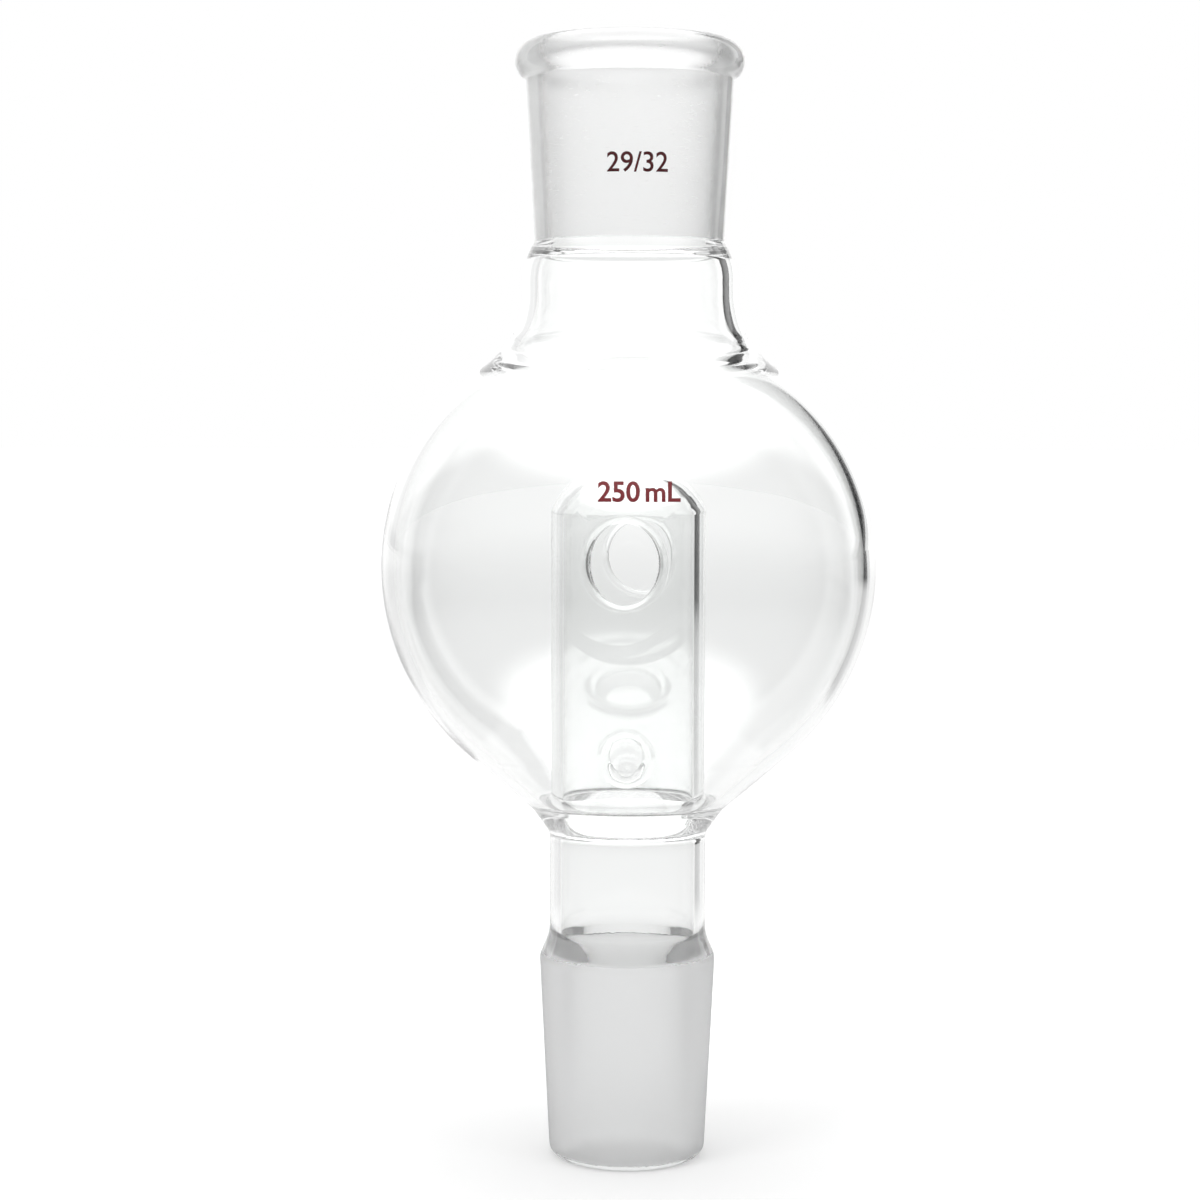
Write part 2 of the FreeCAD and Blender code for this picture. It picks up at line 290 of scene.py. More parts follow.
class TrapProfile:
    """The half outline of the glass, from the inner tube's dome down its bore, round the outside and back."""

    ROW_STEP = 0.8 * MM
    DOME_ROW_STEP = 0.18 * MM
    ROW_MARGIN = 3.4 * MM
    SEAM_STEPS = 4

    def __init__(self, s):
        self.s = s
        self.slope = s.joint_taper / 2
        self.joint_large = s.joint_diameter / 2
        self.joint_small = self.joint_large - self.slope * s.joint_length
        self.cone_bore = s.cone_bore / 2
        self.lower_neck = s.lower_neck / 2
        self.lower_bore = self.lower_neck - s.lower_neck_wall
        self.bulb = s.bulb / 2
        self.bulb_inside = self.bulb - s.bulb_wall
        self.upper_neck = s.upper_neck / 2
        self.upper_bore = self.upper_neck - s.upper_neck_wall
        self.tube = s.tube / 2
        self.tube_bore = self.tube - s.tube_wall
        self.seal_radius = s.seal / 2
        self.cone_top = s.tip_land + s.joint_length
        self.neck_foot = self.cone_top + s.cone_shoulder
        self.neck_top = self.neck_foot + s.lower_neck_length
        self.seal_height = self.neck_top + (self.seal_radius - self.lower_neck) / math.tan(s.seal_slope)
        self.tube_top = self.seal_height + s.tube_rise
        self.place_bulb()
        self.place_socket()
        self.place_dome()

    def place_bulb(self):
        """The bulb sits where its lower cone runs smoothly into the ball. The upper neck flares from it."""
        s = self.s
        meeting = self.bulb * math.cos(s.funnel_slope)
        meeting_height = self.seal_height + (meeting - self.seal_radius) / math.tan(s.funnel_slope)
        self.funnel_top = at(meeting, meeting_height)
        self.bulb_centre = at(0, meeting_height + self.bulb * math.sin(s.funnel_slope))
        self.flare, self.flare_foot = ball_under_neck(self.upper_neck, self.bulb, s.upper_neck_flare)
        self.inner_flare_radius = s.upper_neck_flare + s.upper_neck_wall
        self.inner_flare, self.inner_flare_foot = ball_under_neck(
            self.upper_bore, self.bulb_inside, self.inner_flare_radius
        )
        self.upper_neck_top = self.bulb_centre.y + self.flare.y + s.upper_neck_straight

    def place_socket(self):
        """The socket stands on the shoulder of the upper neck."""
        s = self.s
        self.shoulder_centre = at(self.upper_neck - s.shoulder, self.upper_neck_top)
        self.socket_foot_radius = self.joint_small + s.socket_wall
        self.shoulder_flare, self.shoulder_flare_foot = ball_under_neck(
            self.socket_foot_radius - self.shoulder_centre.x, s.shoulder, s.shoulder_fillet
        )
        self.shoulder_top = self.upper_neck_top + self.shoulder_flare.y
        self.ground_foot = self.shoulder_top + s.socket_foot
        self.ground_top = self.ground_foot + s.joint_length
        self.rim_top = self.ground_top + s.mouth_rounding
        self.rim_wall = self.socket_bore(self.rim_top - s.rim_bead) + s.socket_wall
        self.rim_centre = at(self.rim_wall + s.rim_projection - s.rim_bead, self.rim_top - s.rim_bead)
        self.socket_lip = self.ground_foot - s.lip_depth

    def place_dome(self):
        """The dome is a crown that a knuckle joins to the tube's wall."""
        s = self.s
        out = self.tube - s.knuckle
        rise = math.sqrt((s.crown - s.knuckle) ** 2 - out**2)
        self.crown_centre = at(0, self.tube_top - s.crown)
        self.knuckle_centre = self.crown_centre + at(out, rise)
        self.dome_lean = at(out, rise).normalized()

    def socket_bore(self, height):
        """The socket's tapered bore at a height."""
        return self.joint_small + self.slope * (height - self.ground_foot)

    def socket_wall(self, height):
        """The socket's outer wall at a height."""
        return self.socket_bore(height) + self.s.socket_wall

    def bulb_wall(self, height):
        """The bulb's outer wall at a height."""
        return math.sqrt(self.bulb**2 - (height - self.bulb_centre.y) ** 2)

    def tube_wall(self, height, inset):
        """The inner tube's wall at a height, this far inside its outer face."""
        knuckle = self.s.knuckle - inset
        rise = height - self.knuckle_centre.y
        if rise < 0:
            return self.tube - inset
        if rise < self.dome_lean.y * knuckle:
            return self.knuckle_centre.x + math.sqrt(knuckle**2 - rise**2)
        return math.sqrt((self.s.crown - inset) ** 2 - (height - self.crown_centre.y) ** 2)

    def rows(self, ports):
        """Heights of the rows of facets up the tube, close enough together for the ports to be let in."""
        low = min(port.level - port.height / 2 for port in ports) - self.ROW_MARGIN
        high = max(port.level + port.height / 2 for port in ports) + self.ROW_MARGIN
        rows = [low]
        while rows[-1] < high:
            straight = rows[-1] + self.ROW_STEP < self.knuckle_centre.y
            rows.append(rows[-1] + (self.ROW_STEP if straight else self.DOME_ROW_STEP))
        return rows

    def draw_tube_inside(self, outline, rows):
        """The inside of the dome and the tube, on the way down."""
        inset = self.s.tube_wall
        meeting = self.crown_centre + self.dome_lean * (self.s.crown - inset)
        side = at(self.tube_wall(rows[-1], inset), rows[-1])
        if side.y < meeting.y:
            outline.swing(self.crown_centre, meeting)
            outline.swing(self.knuckle_centre, side)
        else:
            outline.swing(self.crown_centre, side)
        outline.points += [at(self.tube_wall(row, inset), row) for row in reversed(rows[:-1])]

    def draw_tube_outside(self, outline, rows):
        """The outside of the tube and the dome, on the way up."""
        meeting = self.crown_centre + self.dome_lean * self.s.crown
        outline.line(at(self.tube, rows[0]))
        outline.points += [at(self.tube_wall(row, 0), row) for row in rows[1:]]
        if rows[-1] < meeting.y:
            outline.swing(self.knuckle_centre, meeting)
        outline.swing(self.crown_centre, self.crown_centre + at(0, self.s.crown))

    def draw_bore(self, outline):
        """The bores of the ring seal, the lower neck and the cone, and the flat tip."""
        s = self.s
        neck_bore_top = at(self.lower_bore, self.neck_top - s.lower_neck_wall)
        neck_bore_foot = at(self.lower_bore, self.neck_foot)
        cone_bore_top = at(self.cone_bore, self.cone_top)
        tip = at(self.cone_bore, 0)
        outline.corner(at(self.tube_bore, self.seal_height), neck_bore_top, s.bore_blend)
        outline.corner(neck_bore_top, neck_bore_foot, s.bore_blend)
        outline.corner(neck_bore_foot, cone_bore_top, s.bore_blend)
        outline.corner(cone_bore_top, tip, s.bore_blend)
        outline.corner(tip, at(self.joint_small, 0), s.tip_bore_rounding)

    def draw_cone(self, outline):
        """The tip and the outside of the ground cone, to the foot of the lower neck."""
        s = self.s
        side = at(self.slope, 1)
        top = at(self.joint_large, self.cone_top) + side * s.cone_reach
        tip = top - side * top.y
        neck_foot = at(self.lower_neck, self.neck_foot)
        outline.corner(tip, top, s.tip_rounding)
        outline.corner(top, neck_foot, s.cone_rounding)
        outline.corner(neck_foot, at(self.lower_neck, self.neck_top), s.cone_shoulder_radius)

    def draw_bulb(self, outline):
        """The outside of the ring seal, the bulb and the upper neck."""
        s = self.s
        seal = at(self.seal_radius, self.seal_height)
        outline.corner(at(self.lower_neck, self.neck_top), seal, s.seal_fillet)
        outline.corner(seal, self.funnel_top, s.seal_rounding)
        outline.line(self.funnel_top)
        outline.swing(self.bulb_centre, self.bulb_centre + self.flare_foot)
        flare = self.bulb_centre + self.flare
        outline.swing(flare, flare - at(s.upper_neck_flare, 0))
        outline.line(at(self.upper_neck, self.upper_neck_top))

    def draw_socket(self, outline):
        """The outside of the shoulder and the socket, the rolled rim, and the bore down to its foot."""
        s = self.s
        outline.swing(self.shoulder_centre, self.shoulder_centre + self.shoulder_flare_foot)
        shoulder_foot = at(self.socket_foot_radius, self.shoulder_top)
        outline.swing(self.shoulder_centre + self.shoulder_flare, shoulder_foot)
        outline.line(at(self.socket_foot_radius, self.ground_foot))
        bead_out = self.rim_wall - self.rim_centre.x
        bead_drop = math.sqrt(s.rim_bead**2 - bead_out**2)
        outline.line(at(self.rim_wall, self.rim_centre.y - bead_drop))
        outline.swing(self.rim_centre, self.rim_centre + at(0, s.rim_bead))
        bore_foot = at(self.joint_small, self.ground_foot)
        outline.corner(at(self.socket_bore(self.rim_top), self.rim_top), bore_foot, s.mouth_rounding)
        outline.line(bore_foot)

    def swell_seam(self, points):
        """These points of the inside, moved inwards where the fused seam swells."""
        s = self.s
        ways = [(point.y - s.seam_level) / s.seam_reach for point in points]
        return [point - at(s.seam * math.exp(-way * way), 0) for point, way in zip(points, ways)]

    def draw_inside(self, outline):
        """The socket's inner lip, the upper bore, the bulb's inside and the trough at the tube's foot."""
        s = self.s
        shoulder = s.shoulder - s.upper_neck_wall
        rise = self.socket_lip - self.upper_neck_top
        lip_root = at(self.shoulder_centre.x + math.sqrt(shoulder**2 - rise**2), self.socket_lip)
        flare = self.bulb_centre + self.inner_flare
        outline.corner(at(self.joint_small, self.socket_lip), lip_root, s.lip_rounding)
        outline.line(lip_root)
        outline.swing(self.shoulder_centre, at(self.upper_bore, self.upper_neck_top))
        outline.line(flare - at(self.inner_flare_radius, 0))
        start = len(outline.points)
        outline.swing(flare, self.bulb_centre + self.inner_flare_foot, s.seam_reach / self.SEAM_STEPS)
        slope = at(math.sin(s.funnel_slope), math.cos(s.funnel_slope))
        funnel = self.bulb_centre + (self.funnel_top - self.bulb_centre) * (self.bulb_inside / self.bulb)
        trough = funnel - slope * ((funnel.x - self.tube) / slope.x)
        outline.swing(self.bulb_centre, funnel)
        outline.points[start:] = self.swell_seam(outline.points[start:])
        outline.corner(trough, at(self.tube, self.tube_top), s.trough)

    def points(self, ports):
        """The whole half outline, from the dome's inside to its outside, both on the axis."""
        rows = self.rows(ports)
        outline = Outline(self.crown_centre + at(0, self.s.crown - self.s.tube_wall))
        self.draw_tube_inside(outline, rows)
        self.draw_bore(outline)
        self.draw_cone(outline)
        self.draw_bulb(outline)
        self.draw_socket(outline)
        self.draw_inside(outline)
        self.draw_tube_outside(outline, rows)
        return outline.points


class Wire:
    """A socket of a node tree that can be used in sums."""

    def __init__(self, board, socket):
        self.board = board
        self.socket = socket

    def maths(self, operation, *others):
        """A Math node on this value and others."""
        return self.board.node("ShaderNodeMath", {"operation": operation}, dict(enumerate((self, *others))))

    def __add__(self, other):
        return self.maths("ADD", other)

    __radd__ = __add__

    def __sub__(self, other):
        return self.maths("SUBTRACT", other)

    def __rsub__(self, other):
        return (self * -1) + other

    def __mul__(self, other):
        return self.maths("MULTIPLY", other)

    __rmul__ = __mul__

    def __truediv__(self, other):
        return self.maths("DIVIDE", other)

    def ramp(self, low, high):
        """0 at low and below, 1 at high and above, smooth in between."""
        return self.board.node(
            "ShaderNodeMapRange",
            {"interpolation_type": "SMOOTHSTEP"},
            {"Value": self, "From Min": low, "From Max": high},
        )

    def between(self, low, high, soft):
        """1 from low to high, with soft edges."""
        return self.ramp(low - soft, low + soft) * (1 - self.ramp(high - soft, high + soft))


class Board:
    """Puts nodes into a tree."""

    def __init__(self, tree):
        self.tree = tree

    def node(self, kind, settings=None, inputs=None, output=0):
        """Adds a node of a kind, sets it, then feeds its sockets with values or wires. Gives one output."""
        made = self.tree.nodes.new(kind)
        for name, value in (settings or {}).items():
            setattr(made, name, value)
        for name, value in (inputs or {}).items():
            socket = made.inputs[name]
            if isinstance(value, Wire):
                self.tree.links.new(value.socket, socket)
            else:
                socket.default_value = value
        return Wire(self, made.outputs[output] if len(made.outputs) else None)

    def noise(self, where, pattern, detail=2):
        """Plain noise of a named pattern, about a half on the whole."""
        return self.node(
            "ShaderNodeTexNoise",
            {},
            {"Vector": where, "Scale": NOISE[pattern], "Detail": detail, "Roughness": 0.5},
        )

    def split(self, vector):
        """The three parts of a vector."""
        apart = self.node("ShaderNodeSeparateXYZ", {}, {"Vector": vector})
        return tuple(Wire(self, apart.socket.node.outputs[axis]) for axis in "XYZ")

    def mix_colour(self, share_of_second, first, second):
        """A mix of two colours."""
        return self.node(
            "ShaderNodeMix", {"data_type": "RGBA"}, {0: share_of_second, 6: first, 7: second}, output=2
        )


def new_material(name):
    """An empty node material and the board for it."""
    material = bpy.data.materials.new(name)
    material.use_nodes = True
    material.node_tree.nodes.clear()
    return material, Board(material.node_tree)


def opaque(rgb):
    """A colour with full alpha, as sockets want it."""
    return (*rgb, 1)


def ground_zones(board, place, profile, finish):
    """1 on the matt cone, and 1 in the matt socket, told by their place. Their edges wander a little. How far
    a face lies from the taper tells it from the clear face on the other side of the wall."""
    wander, softness = 0.5 * MM, 0.12 * MM
    cone_depths = -1.6 * MM, -1 * MM
    socket_depths = 0.4 * MM, 0.9 * MM
    s = profile.s
    x, y, z = board.split(place)
    radius = (x * x + y * y).maths("SQRT")
    level = z + (board.noise(place, "edge") - 0.5) * wander
    cone_wall = profile.joint_small + profile.slope * (z - s.tip_land)
    cone_end = profile.cone_top + finish.ground_over
    on_cone = level.between(s.tip_land, cone_end, softness) * (radius - cone_wall).ramp(*cone_depths)
    bore_wall = profile.joint_small + profile.slope * (z - profile.ground_foot)
    in_bore = 1 - (radius - bore_wall).ramp(*socket_depths)
    return on_cone, level.between(profile.ground_foot, profile.ground_top, softness) * in_bore


def make_glass_material(profile, finish):
    """Clear glass, faintly wavy, with the two ground tapers as matt zones that partly scatter white."""
    marks_in_roughness, grain_in_roughness, scatter_roughness = 0.25, 0.1, 0.9
    marks_in_height, grain_height, wave_height = 0.4, 0.012 * MM, 0.12 * MM
    least_cover, cover_spread = 0.85, 0.3
    rings_to_the_turn = 14
    material, board = new_material("borosilicate_glass")
    place = board.node("ShaderNodeTexCoord", {}, {}, output="Object")
    on_cone, in_socket = ground_zones(board, place, profile, finish)
    ground = on_cone + in_socket
    rings = board.node("ShaderNodeMapping", {}, {"Vector": place, "Scale": (1, 1, rings_to_the_turn)})
    marks = board.noise(rings, "marks", 3)
    grain = board.noise(place, "grain")
    waves = board.noise(place, "waves", 1)
    even = on_cone * finish.ground_roughness + in_socket * finish.socket_roughness
    uneven = (marks - 0.5) * marks_in_roughness + (grain - 0.5) * grain_in_roughness
    ground_height = ground * (marks * marks_in_height + grain) * grain_height
    height = ground_height + (1 - ground) * waves * wave_height
    normal = board.node("ShaderNodeBump", {}, {"Strength": 1, "Distance": 1, "Height": height})
    # The socket's lighter tint is painted light falling in through the open mouth; the cone's tint is the
    # ground glass's own
    matt = board.mix_colour(in_socket, opaque(finish.ground), opaque(finish.lit_ground_inside))
    clear = board.node(
        "ShaderNodeBsdfPrincipled",
        {},
        {
            "Base Color": board.mix_colour(ground, opaque(finish.clear), matt),
            "Roughness": even + ground * uneven,
            "IOR": GLASS_IOR,
            "Transmission Weight": 1,
            "Normal": normal,
        },
    )
    scatter = board.node(
        "ShaderNodeBsdfPrincipled",
        {},
        {"Base Color": matt, "Roughness": scatter_roughness, "IOR": GLASS_IOR, "Normal": normal},
    )
    cover = on_cone * finish.ground_cover + in_socket * finish.ground_inside_cover
    cover = cover * (least_cover + marks * cover_spread)
    mixed = board.node("ShaderNodeMixShader", {}, {0: cover, 1: clear, 2: scatter})
    board.node("ShaderNodeOutputMaterial", {}, {"Surface": mixed})
    return material


def make_enamel_material(finish):
    """Thin fired enamel, a little uneven in colour and gloss."""
    dark_share, pit_depth = 0.7, 0.01 * MM
    least_roughness, roughness_spread = 0.3, 0.2
    material, board = new_material("fired_enamel")
    place = board.node("ShaderNodeTexCoord", {}, {}, output="Object")
    blotches = board.noise(place, "blotches", 3)
    pits = board.noise(place, "pits")
    dark = tuple(value * dark_share for value in finish.enamel)
    tint = board.mix_colour(blotches, opaque(dark), opaque(finish.enamel))
    normal = board.node("ShaderNodeBump", {}, {"Strength": 1, "Distance": 1, "Height": pits * pit_depth})
    enamel = board.node(
        "ShaderNodeBsdfPrincipled",
        {},
        {"Base Color": tint, "Roughness": least_roughness + blotches * roughness_spread, "Normal": normal},
    )
    board.node("ShaderNodeOutputMaterial", {}, {"Surface": enamel})
    return material


def make_spinner():
    """A node tree that spins the points of an outline about Z into a closed skin."""
    tree = bpy.data.node_groups.new("Spun outline", "GeometryNodeTree")
    tree.is_modifier = True
    for name, kind in (("Outline", "Geometry"), ("Steps round", "Int"), ("Finish", "Material")):
        tree.interface.new_socket(name, in_out="INPUT", socket_type=f"NodeSocket{kind}")
    tree.interface.new_socket("Skin", in_out="OUTPUT", socket_type="NodeSocketGeometry")
    board = Board(tree)
    given = board.node("NodeGroupInput")
    outline, steps, finish = (Wire(board, given.socket.node.outputs[i]) for i in range(3))
    count = board.node("GeometryNodeAttributeDomainSize", {"component": "MESH"}, {"Geometry": outline})
    grid = board.node("GeometryNodeMeshGrid", {}, {"Vertices X": steps + 1, "Vertices Y": count})
    index = board.node("GeometryNodeInputIndex")
    column = (index / count).maths("FLOOR")
    position = board.node("GeometryNodeInputPosition")
    point = board.node(
        "GeometryNodeSampleIndex",
        {"data_type": "FLOAT_VECTOR", "domain": "POINT"},
        {"Geometry": outline, "Value": position, "Index": index - column * count},
    )
    turned = board.node(
        "ShaderNodeVectorRotate",
        {"rotation_type": "Z_AXIS"},
        {"Vector": point, "Angle": column / steps * math.tau},
    )
    skin = board.node("GeometryNodeSetPosition", {}, {"Geometry": grid, "Position": turned})
    skin = board.node("GeometryNodeMergeByDistance", {}, {"Geometry": skin, "Distance": SKIN_WELD})
    skin = board.node("GeometryNodeSetShadeSmooth", {}, {"Geometry": skin})
    skin = board.node("GeometryNodeRealizeInstances", {}, {"Geometry": skin})
    skin = board.node("GeometryNodeSetMaterial", {}, {"Geometry": skin, "Material": finish})
    board.node("NodeGroupOutput", {}, {"Skin": skin})
    return tree


def spin(context, name, points, steps, material):
    """A plain mesh object of an outline spun about Z by the node tree."""
    outline = bpy.data.meshes.new(name + "_outline")
    outline.from_pydata([(p.x, 0, p.y) for p in points], [], [])
    piece = bpy.data.objects.new(name, outline)
    context.scene.collection.objects.link(piece)
    modifier = piece.modifiers.new("Spin", "NODES")
    modifier.node_group = make_spinner()
    sockets = {item.name: item.identifier for item in modifier.node_group.interface.items_tree}
    modifier[sockets["Steps round"]] = steps
    modifier[sockets["Finish"]] = material
    piece.update_tag()
    evaluated = piece.evaluated_get(context.evaluated_depsgraph_get())
    skin = bpy.data.meshes.new_from_object(evaluated)
    piece.modifiers.clear()
    piece.data = skin
    skin.name = name
    bpy.data.meshes.remove(outline)
    return piece


class PortCutter:
    """Opens ports in the inner tube's two walls and joins them with a round lip."""

    FILLET = 0.08
    FILLET_STEPS = 4
    BEAD_STEPS = 16
    RINGS = 4
    CLEARANCE = 0.7 * MM

    def __init__(self, mesh, profile):
        self.mesh = mesh
        self.profile = profile
        self.middle = profile.tube - profile.s.tube_wall / 2
        self.half_wall = profile.s.tube_wall / 2

    def walls(self, height):
        """The radius of the tube's inner and outer face at a height."""
        return self.profile.tube_wall(height, self.profile.s.tube_wall), self.profile.tube_wall(height, 0)

    def flat(self, co, port):
        """A point of the tube as seen straight on to the port: across, up, and how far from mid wall."""
        turn = math.atan2(co.x, -co.y) - port.turn
        turn = (turn + math.pi) % math.tau - math.pi
        inner, outer = self.walls(co.z)
        depth = (math.hypot(co.x, co.y) - inner) / (outer - inner) * 2 - 1
        return turn, co.z - port.level, depth * self.half_wall

    def bent(self, across, up, depth, port):
        """The place on the tube of a point given straight on to the port."""
        height = port.level + up
        inner, outer = self.walls(height)
        radius = inner + (outer - inner) * (depth / self.half_wall + 1) / 2
        turn = math.asin(across / self.middle) + port.turn
        return Vector((radius * math.sin(turn), -radius * math.cos(turn), height))

    def lip_section(self, lip):
        """The section through a lip, from the outer wall round the bead to the inner wall: out from the
        bead's centre line, and up from mid wall."""
        fillet = lip * self.FILLET
        rise = self.half_wall + fillet
        out = math.sqrt((lip + fillet) ** 2 - rise**2)
        lean = math.atan2(rise, out)
        section = []
        for step in range(self.FILLET_STEPS):
            turn = -math.pi / 2 - (math.pi / 2 - lean) * step / self.FILLET_STEPS
            section.append((out + fillet * math.cos(turn), rise + fillet * math.sin(turn)))
        for step in range(self.BEAD_STEPS + 1):
            turn = lean + (math.tau - 2 * lean) * step / self.BEAD_STEPS
            section.append((lip * math.cos(turn), lip * math.sin(turn)))
        mirrored = [(across, -up) for across, up in reversed(section[: self.FILLET_STEPS])]
        return section + mirrored

    def clear_window(self, port):
        """Takes out the facets of both walls over the port. Gives the edges of the two windows in order."""
        reach = port.lip * (1 + self.FILLET) + self.CLEARANCE
        widest = math.asin((port.width / 2 + port.lip + reach) / self.middle)
        tallest = port.height / 2 + port.lip + reach
        self.mesh.faces.ensure_lookup_table()
        self.finish = self.mesh.faces[0].material_index
        doomed = []
        for face in self.mesh.faces:
            centre = face.calc_center_median()
            off_the_tube = math.hypot(centre.x, centre.y) > self.profile.tube + MM
            if off_the_tube or abs(centre.z - port.level) > tallest:
                continue
            spots = [self.flat(vert.co, port) for vert in face.verts]
            if all(abs(turn) < widest and abs(up) < tallest for turn, up, depth in spots):
                doomed.append(face)
        bmesh.ops.delete(self.mesh, geom=doomed, context="FACES")
        rim = {vert for edge in self.mesh.edges if len(edge.link_faces) == 1 for vert in edge.verts}
        walls = ([], [])
        for vert in rim:
            turn, up, depth = self.flat(vert.co, port)
            walls[depth < 0].append((math.atan2(up / tallest, turn / widest), vert, turn, up))
        return [sorted(wall, key=lambda spot: spot[0]) for wall in walls]

    def cut(self, port):
        """Lets one port in."""
        outer, inner = self.clear_window(port)
        if len(outer) != len(inner) or not outer:
            raise RuntimeError("The two walls of the inner tube don't match over a port")
        across = port.width / 2 + port.lip
        up = port.height / 2 + port.lip
        section = self.lip_section(port.lip)
        columns = []
        for (_, outer_vert, turn, rise), (_, inner_vert, _, _) in zip(outer, inner):
            edge = Vector((math.sin(turn) * self.middle, rise))
            way = math.atan2(edge.y / up, edge.x / across)
            foot = Vector((across * math.cos(way), up * math.sin(way)))
            out = Vector((math.cos(way) / across, math.sin(way) / up)).normalized()
            start = foot + out * section[0][0]
            rings = [edge.lerp(start, ring / self.RINGS) for ring in range(1, self.RINGS)]
            spots = [(spot, self.half_wall) for spot in rings]
            spots += [(foot + out * along, depth) for along, depth in section]
            spots += [(spot, -self.half_wall) for spot in reversed(rings)]
            lip = [self.mesh.verts.new(self.bent(spot.x, spot.y, depth, port)) for spot, depth in spots]
            columns.append([outer_vert, *lip, inner_vert])
        for left, right in zip(columns, columns[1:] + columns[:1]):
            for i in range(len(left) - 1):
                face = self.mesh.faces.new((left[i], left[i + 1], right[i + 1], right[i]))
                face.smooth = True
                face.material_index = self.finish


def close_and_check(mesh, name):
    """Turns the skin's faces outwards, and stops if it isn't closed."""
    bmesh.ops.recalc_face_normals(mesh, faces=mesh.faces)
    if mesh.calc_volume(signed=True) < 0:
        bmesh.ops.reverse_faces(mesh, faces=mesh.faces)
    if any(not edge.is_manifold for edge in mesh.edges):
        raise RuntimeError(f"The skin of {name} isn't closed")


class BUMPTRAP_OT_glass(bpy.types.Operator):
    """Turn the glass from its outline and open the ports of the inner tube"""

    bl_idname = "bump_trap.glass"
    bl_label = "Glass"

    def execute(self, context):
        scene = context.scene
        profile = TrapProfile(scene.trap_sizes)
        ports = list(scene.trap_ports)
        material = make_glass_material(profile, scene.trap_finish)
        piece = spin(context, "blown_glass", profile.points(ports), scene.trap_sizes.steps_round, material)
        mesh = bmesh.new()
        mesh.from_mesh(piece.data)
        cutter = PortCutter(mesh, profile)
        for port in ports:
            cutter.cut(port)
        close_and_check(mesh, piece.name)
        mesh.to_mesh(piece.data)
        mesh.free()
        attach(piece, BODY)
        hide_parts(NODE)
        return {"FINISHED"}


def flat_words(context, name, mark):
    """A mesh of a mark's words, flat and one unit thick, with thickened strokes and a narrow space."""
    curve = bpy.data.curves.new(name, "FONT")
    curve.body = mark["words"]
    curve.align_x = "CENTER"
    curve.resolution_u = 5
    curve.extrude = 0.5
    curve.offset = mark["weight"]
    curve.space_word = 0.55
    flat = bpy.data.objects.new(name, curve)
    context.scene.collection.objects.link(flat)
    skin = bpy.data.meshes.new_from_object(flat.evaluated_get(context.evaluated_depsgraph_get()))
    bpy.data.objects.remove(flat)
    return skin


def make_mark(context, name, tall, level, wall, thickness, material):
    """A mark's words in raised enamel, this tall, wrapped round the glass at a level of its wall."""
    mark = MARKS[name]
    skin = flat_words(context, name, mark)
    mesh = bmesh.new()
    mesh.from_mesh(skin)
    bmesh.ops.remove_doubles(mesh, verts=mesh.verts, dist=WORD_WELD)
    corners = np.array([vert.co for vert in mesh.verts])
    low, high = corners.min(0), corners.max(0)
    size = high - low
    for share_of_width in np.linspace(0, 1, MARK_STRIPS + 1)[1:-1]:
        bmesh.ops.bisect_plane(
            mesh,
            geom=mesh.verts[:] + mesh.edges[:] + mesh.faces[:],
            plane_co=(low[0] + size[0] * share_of_width, 0, 0),
            plane_no=(1, 0, 0),
        )
    for vert in mesh.verts:
        across = ((vert.co.x - low[0]) / size[0] - 0.5) * mark["wide"] + mark["centre"]
        height = level + ((vert.co.y - low[1]) / size[1] - 0.5) * tall
        radius = wall(height)
        turn = across / radius
        radius += (vert.co.z + 0.5) * thickness
        vert.co = (radius * math.sin(turn), -radius * math.cos(turn), height)
    bmesh.ops.recalc_face_normals(mesh, faces=mesh.faces)
    mesh.to_mesh(skin)
    mesh.free()
    skin.name = name
    skin.materials.clear()
    skin.materials.append(material)
    piece = bpy.data.objects.new(name, skin)
    context.scene.collection.objects.link(piece)
    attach(piece, BODY)


class BUMPTRAP_OT_marks(bpy.types.Operator):
    """Fire the size of the joint on the socket and the volume on the bulb"""

    bl_idname = "bump_trap.marks"
    bl_label = "Size marks"

    def execute(self, context):
        scene = context.scene
        profile = TrapProfile(scene.trap_sizes)
        marks = scene.trap_marks
        enamel = make_enamel_material(scene.trap_finish)
        for name, tall, level, wall in (
            ("joint_size_mark", marks.joint_mark_height, marks.joint_mark_level, profile.socket_wall),
            ("volume_mark", marks.volume_mark_height, marks.volume_mark_level, profile.bulb_wall),
        ):
            make_mark(context, name, tall, level, wall, marks.thickness, enamel)
        return {"FINISHED"}


class LightPaths:
    """What the light of a path is, told by the way that it has come."""

    FACES_OF_A_VESSEL = 4
    LIGHTER_THROUGH_TWO = 0.6

    def __init__(self, board):
        path = board.node("ShaderNodeLightPath").socket.node
        camera, glossy, through = (
            Wire(board, path.outputs[f"Is {kind} Ray"]) for kind in ("Camera", "Glossy", "Transmission")
        )
        diffuse_depth, glossy_depth, faces = (
            Wire(board, path.outputs[f"{kind} Depth"]) for kind in ("Diffuse", "Glossy", "Transmission")
        )
        # 1 for what the camera sees straight
        self.camera = camera
        # 1 for what it sees straight or in the glass, and 0 for the light that falls on things
        direct = 1 - diffuse_depth.maths("MINIMUM", 1)
        self.seen = (camera + (glossy + through) * direct).maths("MINIMUM", 1)
        # 1 for what it sees after the gloss of the glass has turned the path once
        self.turned = glossy_depth.maths("COMPARE", 1, 0.5) * (1 - camera)
        # How much of the dark cards and the dim room a path sees: all of them, but none after a plain way
        # through one vessel, and less after one through two, so that the glass is clear from every side
        plain = 1 - glossy_depth.maths("MINIMUM", 1)
        one = faces.maths("COMPARE", self.FACES_OF_A_VESSEL, 0.5)
        two = faces.maths("COMPARE", 2 * self.FACES_OF_A_VESSEL, 0.5)
        self.darkness = 1 - plain * (one + two * self.LIGHTER_THROUGH_TWO)


